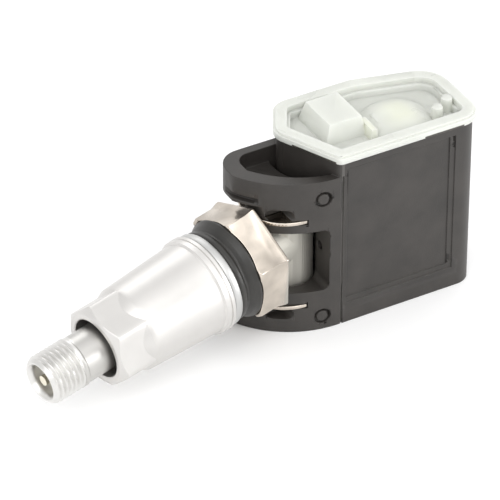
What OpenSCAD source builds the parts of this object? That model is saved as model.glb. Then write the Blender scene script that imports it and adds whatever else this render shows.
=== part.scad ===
// Tyre pressure sensor: a moulded electronics box whose cradle carries a swivelling clamp-in valve.
// X runs along the box with the valve towards -X and Z is up. The origin lies on the base, under the point
// where the valve's own stations start; the swivel axis stands a little behind it.

/* [Box] */
// Length of the box from the cradle seam to the rear wall
box_len = 23.5; // [23:0.5:34]
// Width of the box between its two broad sides
box_w = 16.7; // [16:0.1:22]
// Height of the box up to the joint with the lid
box_h = 29.4; // [28.5:0.1:36]
// Distance from the origin to the seam where the box starts
seam_x = 6.8; // [6.5:0.1:9]
// Distance from the origin to the near broad side
near_side = 7.7; // [7.4:0.1:9]
// How far the rounded nose of the box reaches ahead of the seam
nose_reach = 5.4; // [4:0.1:5.8]
// Height of the nose's crest above the near side, across the box
nose_side = 10.5; // [9:0.1:12]
// Radius of the two rounded corners of the nose
nose_r = 2.6; // [1.5:0.1:4]
// Radius of the near rear corner
rear_near_r = 3; // [1.5:0.1:4]
// Distance from the seam to the start of the slant at the far rear corner
slant_from = 10.8; // [9:0.1:13]
// How far that slant comes in at the rear wall
slant_in = 3.4; // [2:0.1:4.4]
// Radius between the slant and the rear wall
rear_far_r = 4.6; // [2:0.1:5]
// Thickness of the moulded walls
wall = 1.3; // [1:0.1:1.8]
// Thickness of the wall left between the disc slots and the inside of the box
slot_wall = 0.9; // [0.8:0.1:1.2]
// Thickness of the floor of the box
floor_t = 1.5; // [1:0.1:2.5]
// Depth of the shallow panel sunk in the near side
panel_depth = 0.35; // [0.2:0.05:0.6]
// Margin from the seam to the sunk panel
panel_front = 0.8; // [0.5:0.1:2]
// Margin from the panel to the rear wall
panel_rear = 4.2; // [3.4:0.1:6]
// Height of the panel's lower edge
panel_low = 3.6; // [2:0.1:6]
// Margin from the panel's upper edge to the lid
panel_top = 1.6; // [1:0.1:4]
// Width of the shallow step round the panel
panel_step = 0.9; // [0.4:0.1:1.4]

/* [Cradle] */
// Height of the cradle's rim
cradle_h = 26.9; // [26.4:0.1:28]
// Radius of the cradle's curved near side
cradle_r = 15.3; // [14:0.1:18]
// Distance from the origin to the front of the cradle
cradle_front = 7.3; // [6.9:0.1:8.5]
// Distance from the origin to the cradle's far side
cradle_far = 6; // [5.6:0.1:6.3]
// Radius of the far front corner of the cradle
cradle_corner_r = 3.6; // [2.5:0.1:4.5]
// Depth of the open pocket in the top of the cradle
pocket_depth = 2.7; // [1.5:0.1:3]
// Depth of the pocket's deeper part beside the box
pocket_deep = 5.4; // [4.5:0.1:5.5]
// Distance from the origin back to the edge of the pocket's shelf
shelf_x = 1; // [0.4:0.1:1.6]
// Radius of the shelf's curved edge
shelf_r = 8; // [7:0.5:10]
// Radius of the pocket's curved near edge
pocket_r = 15.9; // [14.5:0.1:18]
// Thickness of the pocket's front wall
pocket_front_t = 2.6; // [2:0.1:3.2]
// Thickness of the pocket's far wall
pocket_far_t = 1.5; // [1:0.1:2]
// Height of the valve's swivel centre above the base
pivot_h = 13.4; // [13.2:0.1:13.6]
// Height of the lower arm's upper face, where the window starts
window_low = 7.2; // [6.8:0.1:7.6]
// Height of the upper arm's lower face, where the window ends
window_top = 18.1; // [18:0.1:18.6]
// Distance from the origin to the wall behind the window
window_x = 4.7; // [4.2:0.1:5]
// Radius of the window's corners
window_r = 1; // [0.5:0.1:1.8]
// Radius of the air port in the wall behind the window
air_port_r = 0.7; // [0.4:0.1:1]
// Height of the lower round-ended opening beside the disc slot
opening_low = 3.4; // [3:0.1:3.6]
// Height of the upper round-ended opening
opening_high = 21.25; // [21.1:0.05:21.6]
// Size of those openings up and down
opening_h = 2; // [1.8:0.1:2.4]
// Length of those openings
opening_len = 3.6; // [3:0.1:3.9]
// Height of the recess above the front lip of the upper arm
lip_low = 22.95; // [22.9:0.05:23.1]
// Size of that recess up and down
lip_h = 1; // [0.7:0.1:1.1]
// Depth of that recess
lip_depth = 0.9; // [0.5:0.1:1.1]
// Outer radius of the small moulded rings on the near side
ring_r = 1.3; // [1:0.1:1.5]
// Height of the lower ring
ring_low = 2.4; // [2:0.1:2.8]
// Height of the upper ring
ring_high = 23.7; // [23.2:0.1:24]
// Width of the groove of those rings
ring_w = 0.4; // [0.2:0.05:0.5]

/* [Swivel block] */
// Distance from the valve's start back to the swivel axis
swivel_back = 1.5; // [1:0.1:1.6]
// Radius of the barrel that turns in the cradle
barrel_r = 4.3; // [4:0.1:4.6]
// Radius of the neck between the barrel and the hexagon
block_neck_r = 4.2; // [3.8:0.1:4.3]
// Radius of the two discs that hold the barrel up and down
disc_r = 7; // [6.8:0.1:7.1]
// Thickness of each disc
disc_t = 0.6; // [0.4:0.1:0.7]
// Height of the lower disc's underside
disc_low = 4.4; // [4.2:0.1:4.8]
// Height of the upper disc's top
disc_high = 20.3; // [20:0.1:20.5]
// Width of the hexagon across its flats
collar_af = 16; // [15.5:0.1:16.2]
// Distance along the valve from its start to the hexagon's rear face
collar_rear = 4.6; // [4.4:0.1:5]
// Length of the hexagon along the valve
collar_len = 5.2; // [5:0.1:5.8]
// Width across the flats of the hexagon's front part
collar_front_af = 15.3; // [15:0.1:15.5]
// Length of the hexagon's wide rear part
collar_lip = 0.5; // [0.3:0.1:0.9]
// Length of the flare between its two parts
collar_flare = 1.3; // [0.8:0.1:1.8]
// Turn of the hexagon about the valve's axis
collar_turn = -7.5; // [-30:0.5:30]
// Radius of the countersunk mouth at the hexagon's front face
mouth_r = 8.3; // [8:0.1:8.6]
// Depth of the countersunk mouth
mouth_depth = 2.6; // [2:0.1:3]
// Sideways angle of the valve in the stored position
valve_yaw = 11.25; // [0:0.25:12]
// Downward lean of the valve, built into the block
valve_droop = 5.9; // [0:0.1:7]
// Swivel angle each way from the box's long axis
swivel_limit = 14; // [12:0.5:14]
// Radial running clearance of the barrel in the cradle
barrel_clear = 0.08; // [0.05:0.01:0.1]
// Clearance above and below the discs in their slots
disc_clear = 0.12; // [0.1:0.01:0.15]
// Clearance round the discs' edges
disc_edge_clear = 0.2; // [0.15:0.05:0.3]
// Clearance between the hexagon's corners and the cradle
collar_clear = 0.4; // [0.35:0.05:0.5]

/* [Valve stem] */
// Distance along the valve from its start to the tip
tip_at = 45.1; // [44:0.1:50]
// Radius of the cap thread at the tip
cap_thread_r = 3.87; // [3.8:0.01:3.9]
// Length of the cap thread with its chamfer
cap_thread_len = 6.1; // [5:0.1:7]
// Radius of the smooth neck behind the cap thread
neck_r = 3.7; // [3.5:0.05:3.8]
// Distance along the valve to the front end of the nut thread
nut_thread_end = 26.6; // [25:0.1:27]
// Radius of the nut thread
nut_thread_r = 5; // [4.9:0.05:5.1]
// Radius of the spigot pressed into the block
spigot_r = 3.2; // [2.8:0.1:3.4]
// Distance the spigot reaches behind the valve's start
spigot_back = 1; // [0.5:0.1:1.5]
// Radius of the air passage
passage_r = 1.6; // [1.2:0.1:1.8]
// Radius of the bore that takes the valve core
core_bore_r = 2.6; // [2.5:0.05:2.7]
// Radius of the mouth of that bore at the tip
tip_mouth_r = 2.95; // [2.8:0.05:3.1]
// Distance from the tip to the tapered seat of the core
seat_from_tip = 10.5; // [10:0.1:11.5]
// Length of the tapered seat
seat_len = 1.6; // [1.2:0.1:2]

/* [Sleeve nut and seals] */
// Distance along the valve to the sleeve nut's front end
sleeve_front = 34.9; // [34.5:0.1:36]
// Distance along the valve to the sleeve nut's rear face
sleeve_rear = 14.4; // [14.2:0.1:15]
// Width of the sleeve nut's hexagon across its flats
sleeve_af = 12; // [11.5:0.1:12.5]
// Length of that hexagon
sleeve_hex_len = 5; // [4:0.1:6]
// Turn of that hexagon about the valve's axis
sleeve_turn = 12; // [-30:0.5:30]
// Radius of the skirt just behind the hexagon
skirt_front_r = 6.7; // [6.5:0.05:6.9]
// Radius of the skirt where it meets the flange
skirt_rear_r = 7.36; // [7.2:0.02:7.5]
// Radius of the flange
flange_r = 7.78; // [7.6:0.02:8]
// Thickness of the flange
flange_t = 2; // [1.6:0.1:2.6]
// Radius of the recess open at the sleeve nut's front
recess_r = 4.75; // [4.5:0.05:4.8]
// Depth of that recess
recess_len = 7.6; // [7:0.1:8]
// Running clearance of the nut and the washer on the thread
nut_clear = 0.05; // [0.03:0.01:0.08]
// Thickness of the loose washer
washer_t = 1.3; // [1:0.1:1.6]
// Radius of the washer
washer_r = 7.57; // [7.4:0.01:7.7]
// Radius of the grommet's front lip
lip_r = 7.35; // [7:0.05:7.5]
// Radius of the groove round the grommet
grommet_groove_r = 6.8; // [6.4:0.05:6.9]
// Gap left between the washer's faces and its neighbours
face_gap = 0.05; // [0.03:0.01:0.1]

/* [Valve core] */
// Length of the core body's threaded part
core_thread_len = 5.4; // [4.6:0.1:6]
// Length of the core body's lower sleeve
core_sleeve_len = 6.2; // [5.6:0.1:7]
// Radius of the core body's lower sleeve
core_sleeve_r = 1.35; // [1.25:0.05:1.4]
// Radial clearance of the core's thread in the stem
core_clear = 0.05; // [0.03:0.01:0.08]
// Radius of the spring chamber in the core body
chamber_r = 1.75; // [1.65:0.05:1.9]
// Radius of the core pin
pin_r = 0.55; // [0.5:0.05:0.6]
// Radius of the pin's head
pin_head_r = 0.8; // [0.7:0.05:0.85]
// Length of the pin's head
pin_head_len = 0.6; // [0.4:0.1:0.7]
// How far the pin's head ends below the tip
pin_from_tip = 0.5; // [0.3:0.1:0.8]
// Travel of the pin
pin_travel = 1.2; // [0.8:0.1:1.2]
// Turns of the core spring
spring_turns = 5; // [4:1:5]
// Radius of the spring wire
wire_r = 0.16; // [0.12:0.01:0.18]

/* [Lid] */
// Overhang of the lid beyond the box
lid_over = 0.5; // [0.3:0.05:0.7]
// Height of the lid's rim above the box
lid_rim_h = 1.3; // [1:0.1:1.8]
// Width of the lid's rim
lid_rim_w = 2.6; // [2.4:0.1:3.2]
// How far the lid's tray is sunk below the joint
lid_sink = 0.8; // [0.5:0.1:1.2]
// Thickness of the lid's sheet
lid_t = 0.9; // [0.7:0.1:1.2]
// Clearance of the lid's tray in the box
lid_clear = 0.12; // [0.08:0.01:0.2]
// Width and height of the step round the lid's upper edge
lid_step = 0.35; // [0.2:0.05:0.5]

/* [Electronics] */
// Thickness of the circuit board
board_t = 1; // [0.8:0.1:1.2]
// Gap between the circuit board and the lid's tray
board_gap = 1.6; // [1.2:0.1:2.4]
// Distance from the near side to the board's component face
board_side = 5.4; // [5.2:0.1:5.8]
// Radius of the coin cell
cell_r = 8; // [7.6:0.1:8.6]
// Thickness of the coin cell
cell_t = 3.2; // [2:0.1:3.6]
// Thickness of the cell tabs
tab_t = 0.15; // [0.1:0.05:0.2]
// Width of the cell tabs
tab_w = 4; // [3:0.5:5]
// Width of the sensor chip
sensor_w = 6; // [5:0.5:6.5]
// Thickness of the sensor chip
sensor_t = 1.8; // [1.2:0.1:2]
// Width of the radio chip
radio_w = 5; // [4:0.5:5.5]
// Thickness of the radio chip and the crystal
radio_t = 0.9; // [0.7:0.1:1.1]
// Length of the crystal's can
crystal_len = 5; // [4:0.5:6]
// Length of the coil's core
coil_len = 11; // [9:0.5:12]
// Distance the antenna stands off the board
antenna_off = 3.2; // [2.6:0.1:3.6]

/* [Hidden] */
$fn = 96;
// A margin that carries each cut past the face that it opens
past = 1;

near_y = -near_side;
far_y = near_y + box_w;
rear_x = seam_x + box_len;
nose_x = seam_x - nose_reach;
swivel_x = swivel_back * cos(valve_yaw);
swivel_y = swivel_back * sin(valve_yaw);
cavity_x = swivel_x + disc_r + disc_edge_clear + slot_wall;
slot_h = disc_t + 2 * disc_clear;
pocket_z = cradle_h - pocket_depth;
notch_r = collar_af / sqrt(3) + collar_clear;
sweep_w = (cradle_front + 0.3 + swivel_x) * tan(swivel_limit);
collar_front = collar_rear + collar_len;
box_pts = [[seam_x - 0.5, near_y], [rear_x, near_y], [rear_x, far_y - slant_in],
    [seam_x + slant_from, far_y], [seam_x - 1.9, far_y], [nose_x, near_y + nose_side]];
box_radii = [0.6, rear_near_r, rear_far_r, 3, nose_r, nose_r];
arc_x = seam_x - 0.55;
slot_low_z = disc_low - disc_clear;
slot_high_z = disc_high - disc_t - disc_clear;
// The groove on the seam line, and the middle of the board's air port
seam_w = 0.3;
seam_depth = 0.25;
port_y = near_y + 3.1;
// Rails that carry the board's ends, with the board's running fit in them
rail_reach = 0.9;
rail_w = 0.8;
board_fit = 0.05;
board_y = near_y + board_side;
board_h = box_h - lid_sink - lid_t - board_gap - floor_t;
// Lid
lid_pts = inset(box_pts, -lid_over);
lid_radii = [for (r = box_radii) r + lid_over];
lid_top = box_h + lid_rim_h;
tray_z = box_h - lid_sink;
// Cell and board parts
cell_y = board_y + board_t + 0.35;
cell_x = (cavity_x + rear_x - wall) / 2;
cell_z = (floor_t + tray_z - lid_t) / 2;
// Stations along the valve, from its start
shank_r = nut_thread_r;
block_seat = 5.6;
seat_at = tip_at - seat_from_tip;
washer_rear = sleeve_rear - face_gap - washer_t;
grommet_front = washer_rear - face_gap;
grommet_rear = collar_front - mouth_depth + 0.1;
core_front = tip_at - pin_from_tip - pin_head_len - pin_travel - 0.2;
chamber_floor = core_front - core_thread_len + 0.6;
core_sleeve_end = core_front - core_thread_len - core_sleeve_len;
pin_top = tip_at - pin_from_tip;
pin_collar = core_front - 1.2;
bridge_t = 0.9;

// Vector helpers for outlines with straight sides and round corners
function unit(v) = v / norm(v);
function turned(v) = [-v[1], v[0]];
function cyc(list, i) = list[(i + len(list)) % len(list)];
function cross2(a, b) = a[0] * b[1] - a[1] * b[0];
function meet(p, u, q, v) = p + u * cross2(q - p, v) / cross2(u, v);
// Each side of a convex outline moves inwards by d and meets its neighbour at a new corner
function inset(pts, d) = [for (i = [0 : len(pts) - 1])
    let (u = unit(pts[i] - cyc(pts, i - 1)), v = unit(cyc(pts, i + 1) - pts[i]))
    meet(pts[i] + turned(u) * d, u, pts[i] + turned(v) * d, v)];
function half_angle(a, b) = acos(unit(a) * unit(b)) / 2;
function to_prev(pts, i) = cyc(pts, i - 1) - pts[i];
function to_next(pts, i) = cyc(pts, i + 1) - pts[i];
function tangent_len(pts, radii, i) = radii[i] / tan(half_angle(to_prev(pts, i), to_next(pts, i)));

// A convex outline with its corners rounded by true arcs, each held just inside its two sides
module rounded(pts, radii) {
    polygon([for (i = [0 : len(pts) - 1])
        let (reach = tangent_len(pts, radii, i))
        for (side = [to_prev(pts, i), to_next(pts, i)]) pts[i] + unit(side) * reach]);
    for (i = [0 : len(pts) - 1]) {
        half = half_angle(to_prev(pts, i), to_next(pts, i));
        middle = unit(unit(to_prev(pts, i)) + unit(to_next(pts, i)));
        translate(pts[i] + middle * radii[i] / sin(half)) circle(r = radii[i] - 0.01);
    }
}

module box_outline(d = 0) {
    rounded(inset(box_pts, d), [for (r = box_radii) max(r - d, 0.3)]);
}

// The valve's own frame: local Z runs out along the valve from the swivel centre
module along_valve(yaw = valve_yaw) {
    translate([swivel_x, swivel_y, pivot_h]) rotate([0, 0, 180 + yaw])
        translate([swivel_back, 0, 0]) rotate([0, 90 + valve_droop, 0]) children();
}

module at_swivel(z) {
    translate([swivel_x, swivel_y, z]) children();
}

module tube(r, bore, from, to) {
    translate([0, 0, from]) difference() {
        cylinder(r = r, h = to - from);
        translate([0, 0, -past]) cylinder(r = bore, h = to - from + 2 * past);
    }
}

module hexagon(af, from, to, turn) {
    translate([0, 0, from]) rotate([0, 0, turn]) cylinder(r = af / sqrt(3), h = to - from, $fn = 6);
}

// Housing

module cradle_outline() {
    corner = cradle_corner_r;
    difference() {
        union() {
            translate([corner - cradle_front, near_y])
                square([cradle_front - corner + seam_x + past, cradle_far - near_y]);
            translate([-cradle_front, near_y]) square([cradle_front, cradle_far - corner - near_y]);
            translate([corner - cradle_front, cradle_far - corner]) circle(r = corner);
        }
        // What lies ahead of the near arc is cut away
        translate([arc_x, near_y + cradle_r]) difference() {
            translate([-40, -cradle_r - past]) square([40, cradle_r + past]);
            circle(r = cradle_r, $fn = 160);
        }
    }
}

module pocket_outline() {
    corner = cradle_corner_r - pocket_far_t;
    intersection() {
        translate([arc_x + 2.4, near_y + cradle_r + 1.7]) circle(r = pocket_r, $fn = 160);
        union() {
            translate([-cradle_front + pocket_front_t + corner, near_y])
                square([20, cradle_far - pocket_far_t - near_y]);
            translate([-cradle_front + pocket_front_t, near_y])
                square([20, cradle_far - pocket_far_t - corner - near_y]);
            translate([-cradle_front + pocket_front_t + corner, cradle_far - pocket_far_t - corner])
                circle(r = corner);
        }
        translate([-20, -20]) square([20 + seam_x, 40]);
    }
}

// A round-ended opening in the near side that shows the disc's edge
module side_opening(z) {
    translate([-4.1, near_y + 4.8, z]) rotate([90, 0, 0]) linear_extrude(20) {
        translate([opening_h / 2, -opening_h / 2]) square([opening_len - opening_h, opening_h]);
        for (end = [opening_h / 2, opening_len - opening_h / 2]) translate([end, 0]) circle(d = opening_h);
    }
}

// The recess that leaves a lip along the front of the upper arm
module lip_recess() {
    translate([arc_x, near_y + cradle_r, lip_low]) difference() {
        cylinder(r = cradle_r + 3, h = lip_h, $fn = 160);
        translate([0, 0, -past]) cylinder(r = cradle_r - lip_depth, h = lip_h + 2 * past, $fn = 160);
        translate([-4.8 - arc_x, -30, -past]) cube([60, 60, lip_h + 2 * past]);
        translate([-40, 4.6 - near_y - cradle_r, -past]) cube([60, 60, lip_h + 2 * past]);
    }
}

module window_cut() {
    translate([0, 20, 0]) rotate([90, 0, 0]) linear_extrude(40) {
        height = window_top - window_low;
        translate([-20, window_low]) square([20 + window_x - window_r, height]);
        translate([-20, window_low + window_r]) square([20 + window_x, height - 2 * window_r]);
        for (z = [window_low + window_r, window_top - window_r])
            translate([window_x - window_r, z]) circle(r = window_r);
    }
}

// The room that the hexagon needs between its two limits: a fan in plan, round in section
module collar_sweep() {
    face = collar_rear - collar_clear + swivel_back;
    side = (face - 12 * sin(swivel_limit)) / cos(swivel_limit);
    intersection() {
        along_valve(0) linear_extrude(24) {
            for (y = [-sweep_w, sweep_w]) translate([0, y]) circle(r = notch_r);
            translate([-notch_r, -sweep_w]) square([2 * notch_r, 2 * sweep_w]);
        }
        at_swivel(pivot_h) rotate([0, -valve_droop, 0]) translate([0, 0, -20]) linear_extrude(40)
            polygon([[-face - 0.1, 0], [-side, 12], [-24, 12], [-24, -12], [-side, -12]]);
    }
}

// A shallow ring sunk in the near side round a round pad
module ejector_ring(x, z) {
    translate([x, near_y + 0.9, z]) rotate([90, 0, 0]) difference() {
        cylinder(r = ring_r, h = 5, $fn = 48);
        translate([0, 0, -past]) cylinder(r = ring_r - ring_w, h = past + 0.75, $fn = 48);
    }
}

module sunk_panel() {
    length = box_len - panel_rear - panel_front;
    height = box_h - panel_top - panel_low;
    translate([seam_x + panel_front, near_y - past, panel_low])
        cube([length, past + panel_depth / 2, height]);
    translate([seam_x + panel_front, near_y - past, panel_low + panel_step])
        cube([length - panel_step, past + panel_depth, height - panel_step]);
}

module cavity() {
    translate([0, 0, floor_t]) linear_extrude(box_h) intersection() {
        box_outline(wall);
        translate([cavity_x, -20]) square([60, 40]);
    }
    translate([0, 0, box_h - lid_sink - lid_t - 0.3]) linear_extrude(box_h) box_outline(wall);
}

// Grooved rails that hold the circuit board at its two ends
module board_rails() {
    for (x = [cavity_x - wall / 2, rear_x - wall - rail_reach])
        for (y = [board_y - rail_w - board_fit, board_y + board_t + board_fit])
            translate([x, y, floor_t / 2]) cube([rail_reach + wall / 2, rail_w, board_h - 1]);
}

module housing() {
    color([0.13, 0.125, 0.12]) {
        difference() {
            union() {
                linear_extrude(box_h) box_outline();
                linear_extrude(cradle_h) cradle_outline();
            }
            cavity();
            // The lid's seat stays clear of the cradle, whatever the height of the box
            translate([0, 0, box_h]) linear_extrude(box_h) box_outline(-lid_over - lid_clear);
            translate([0, 0, pocket_z]) linear_extrude(pocket_depth + past) difference() {
                pocket_outline();
                box_outline();
            }
            translate([0, 0, cradle_h - pocket_deep]) linear_extrude(pocket_deep + past) difference() {
                intersection() {
                    pocket_outline();
                    translate([shelf_x + shelf_r, 3]) circle(r = shelf_r, $fn = 160);
                }
                box_outline();
            }
            lip_recess();
            window_cut();
            at_swivel(window_low - past / 2)
                cylinder(r = barrel_r + 0.6, h = window_top - window_low + past);
            at_swivel(slot_low_z) cylinder(r = barrel_r + barrel_clear, h = slot_high_z - slot_low_z);
            for (z = [slot_low_z, slot_high_z])
                at_swivel(z) cylinder(r = disc_r + disc_edge_clear, h = slot_h);
            collar_sweep();
            for (z = [opening_low, opening_high]) side_opening(z);
            for (z = [ring_low, ring_high]) ejector_ring(seam_x - 3.1, z);
            sunk_panel();
            translate([seam_x - seam_w / 2, near_y - past, -past])
                cube([seam_w, past + seam_depth, cradle_h + past]);
            translate([0, port_y, pivot_h]) rotate([0, 90, 0]) cylinder(r = air_port_r, h = 20);
        }
        board_rails();
    }
}

// Lid

// A raised block whose walls lean in from foot to top: low corner, size, lean of each side, rise
module leaning_block(x, y, size, lean, rise) {
    hull() {
        translate([x - lean, y - lean, tray_z - 0.2])
            cube([size[0] + 1.3 * lean, size[1] + 1.3 * lean, 0.2]);
        translate([x, y, tray_z + rise - 0.2]) cube([size[0], size[1], 0.2]);
    }
}

module lid_post(x, y) {
    translate([x, y, tray_z - 0.2]) cylinder(r1 = 1.05, r2 = 0.85, h = 2.4, $fn = 48);
}

module lid() {
    color([0.82, 0.86, 0.80, 0.8]) {
        difference() {
            union() {
                translate([0, 0, box_h]) linear_extrude(lid_rim_h - lid_step) rounded(lid_pts, lid_radii);
                translate([0, 0, lid_top - lid_step - 0.01]) linear_extrude(lid_step + 0.01)
                    box_outline(lid_step - lid_over);
                translate([0, 0, tray_z - lid_t]) linear_extrude(lid_sink + lid_t + 0.1)
                    box_outline(wall + lid_clear);
            }
            translate([0, 0, tray_z]) linear_extrude(10) box_outline(lid_rim_w - lid_over);
            translate([0, 0, box_h + 0.3]) linear_extrude(10) box_outline(lid_rim_w - lid_over - 0.5);
        }
        // Raised chamber above the antenna, with a low bar and a step behind it
        leaning_block(seam_x + 1.6, near_y + 6.8, [5.4, 7.2], 1.1, 2.8);
        leaning_block(seam_x + 7.3, near_y + 4.1, [0.9, 3.8], 0.25, 1.6);
        leaning_block(seam_x + 9.3, near_y + 5.9, [0.7, 2.5], 0.2, 1.3);
        // Dome over the cell's edge
        translate([seam_x + 13, near_y + 6.7, tray_z - 7]) intersection() {
            rotate([90, 0, 0]) sphere(r = 9);
            translate([-5, -5, 6.8]) cube([10, 10, 10]);
        }
        lid_post(seam_x + 18.5, near_y + 4.2);
        lid_post(seam_x + 21, near_y + 5.6);
    }
}

// Electronics

module port_membrane() {
    color([0.85, 0.85, 0.82]) translate([cavity_x, port_y, pivot_h]) rotate([0, 90, 0])
        cylinder(r = 1.4, h = 0.3, $fn = 48);
}

module circuit_board() {
    color([0.05, 0.3, 0.14]) translate([cavity_x + board_fit, board_y, floor_t])
        cube([rear_x - wall - cavity_x - 2 * board_fit, board_t, board_h]);
}

module coin_cell() {
    color([0.75, 0.75, 0.74]) translate([cell_x, cell_y, cell_z]) rotate([-90, 0, 0]) {
        cylinder(r = cell_r - 1.1, h = 0.6);
        translate([0, 0, 0.6]) cylinder(r = cell_r, h = cell_t - 0.6);
    }
}

// Strip welded on the cell's outer face and folded back over its top to the board
module cell_tab_plus() {
    top = cell_z + cell_r + 0.5;
    color([0.8, 0.78, 0.7]) {
        translate([cell_x + 1, cell_y + cell_t, cell_z]) cube([tab_w, tab_t, top - cell_z]);
        translate([cell_x + 1, board_y + board_t, top - tab_t])
            cube([tab_w, cell_y + cell_t + tab_t - board_y - board_t, tab_t]);
    }
}

// Strip welded on the cell's inner face, with its foot on the board
module cell_tab_minus() {
    color([0.8, 0.78, 0.7]) {
        translate([cell_x - tab_w - 1, cell_y - tab_t, cell_z - 4]) cube([tab_w, tab_t, 8]);
        translate([cell_x - tab_w - 1, board_y + board_t, cell_z - 4])
            cube([tab_w, cell_y - board_y - board_t - tab_t / 2, 1]);
    }
}

// A block on the component face of the board, placed by its lower front corner
module on_board(x, z, size) {
    translate([cavity_x + x, board_y - size[1], floor_t + z]) cube(size);
}

module sensor_chip() {
    color([0.08, 0.08, 0.09]) difference() {
        on_board(2, board_h / 2 - 3.9, [sensor_w, sensor_t, sensor_w]);
        translate([cavity_x + 2 + sensor_w / 2, board_y - sensor_t - past, floor_t + board_h / 2 - 0.9])
            rotate([-90, 0, 0]) cylinder(r = sensor_w / 10, h = past + 0.8, $fn = 48);
    }
}

module radio_chip() {
    color([0.09, 0.09, 0.1]) on_board(10.6, board_h / 2 - 3.3, [radio_w, radio_t, radio_w]);
}

module crystal() {
    color([0.7, 0.7, 0.68]) on_board(11, board_h / 2 + 3.6, [3.2, radio_t, crystal_len]);
}

module coil_core() {
    color([0.2, 0.18, 0.17]) {
        on_board(4, 2.6, [coil_len, 1.2, 1.4]);
        for (x = [4, 2.6 + coil_len]) on_board(x, 1.6, [1.4, 2.6, 3.4]);
    }
}

module coil_winding() {
    color([0.66, 0.33, 0.14]) difference() {
        translate([cavity_x + 5.6, board_y - 1.9, floor_t + 1.9]) cube([coil_len - 3.2, 1.8, 2.8]);
        translate([cavity_x + 5, board_y - 1.25, floor_t + 2.55]) cube([coil_len - 2, 1.25, 1.5]);
    }
}

module capacitors() {
    color([0.6, 0.5, 0.38]) for (k = [0 : 4]) on_board(16.6, 6.5 + 2.4 * k, [0.8, 0.8, 1.6]);
}

// Stamped loop that stands off the top of the board
module antenna() {
    color([0.78, 0.6, 0.32]) {
        for (x = [1.2, 17.6]) on_board(x, board_h - 5.2, [0.8, antenna_off, 2.4]);
        translate([cavity_x + 1.2, board_y - antenna_off, floor_t + board_h - 3.6]) cube([17.2, 0.6, 0.8]);
    }
}

// Valve

module swivel_block() {
    corner_r = collar_af / sqrt(3);
    front_corner = collar_front_af / sqrt(3);
    flare_from = collar_rear + collar_lip;
    color([0.8, 0.76, 0.7]) difference() {
        union() {
            at_swivel(disc_low) cylinder(r = barrel_r, h = disc_high - disc_low);
            for (z = [disc_low, disc_high - disc_t]) at_swivel(z) cylinder(r = disc_r, h = disc_t);
            along_valve() translate([0, 0, -swivel_back])
                cylinder(r = block_neck_r, h = flare_from + swivel_back);
            along_valve() intersection() {
                union() {
                    hexagon(collar_af, collar_rear, flare_from, collar_turn);
                    translate([0, 0, flare_from]) rotate([0, 0, collar_turn])
                        cylinder(r1 = corner_r, r2 = front_corner, h = collar_flare, $fn = 6);
                    hexagon(collar_front_af, flare_from + collar_flare, collar_front, collar_turn);
                }
                // Bevel turned on the front corners
                rotate_extrude() polygon([[0, collar_rear - past], [front_corner + 0.7, collar_rear - past],
                    [front_corner + 0.7, collar_front - 1], [front_corner - 0.3 - past, collar_front + past],
                    [0, collar_front + past]]);
            }
        }
        along_valve() rotate_extrude() polygon([[0, -spigot_back], [spigot_r, -spigot_back],
            [spigot_r, block_seat], [shank_r + 0.1, block_seat],
            [shank_r + 0.1, collar_front - mouth_depth], [mouth_r, collar_front],
            [mouth_r, collar_front + past], [0, collar_front + past]]);
        along_valve() translate([0, 0, -20]) cylinder(r = passage_r, h = 20);
    }
}

module valve_stem() {
    thread_at = tip_at - cap_thread_len;
    color([0.86, 0.87, 0.88]) along_valve() rotate_extrude() polygon([
        [passage_r, -spigot_back], [spigot_r, -spigot_back], [spigot_r, block_seat],
        [shank_r, block_seat], [shank_r, nut_thread_end - 0.6], [shank_r - 0.6, nut_thread_end],
        [neck_r, nut_thread_end], [neck_r, thread_at - 0.2], [cap_thread_r, thread_at],
        [cap_thread_r, tip_at - 0.9], [cap_thread_r - 0.25, tip_at - 0.4], [tip_mouth_r + 0.25, tip_at],
        [tip_mouth_r, tip_at], [core_bore_r, tip_at - 0.5],
        [core_bore_r, seat_at], [passage_r, seat_at - seat_len]]);
}

// The grommet's rear cone lies along the block's countersunk mouth with a small gap
module grommet() {
    cone_r = shank_r + 0.05;
    seat_r = mouth_r - 0.25;
    color([0.07, 0.07, 0.07]) along_valve() rotate_extrude() polygon([
        [shank_r, grommet_rear], [cone_r, grommet_rear], [seat_r, collar_front - 0.1],
        [seat_r - 0.1, collar_front + 0.2], [lip_r + 0.1, collar_front + 0.9],
        [grommet_groove_r, collar_front + 1.5], [grommet_groove_r, collar_front + 1.8],
        [lip_r, collar_front + 2.3], [lip_r, grommet_front - 0.4], [lip_r - 0.5, grommet_front],
        [shank_r, grommet_front]]);
}

module washer() {
    bevel = 0.25;
    bore = nut_thread_r + nut_clear;
    color([0.8, 0.82, 0.84]) along_valve() rotate_extrude() polygon([
        [bore, washer_rear], [washer_r - bevel, washer_rear], [washer_r, washer_rear + bevel],
        [washer_r, washer_rear + washer_t - bevel], [washer_r - bevel, washer_rear + washer_t],
        [bore, washer_rear + washer_t]]);
}

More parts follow.
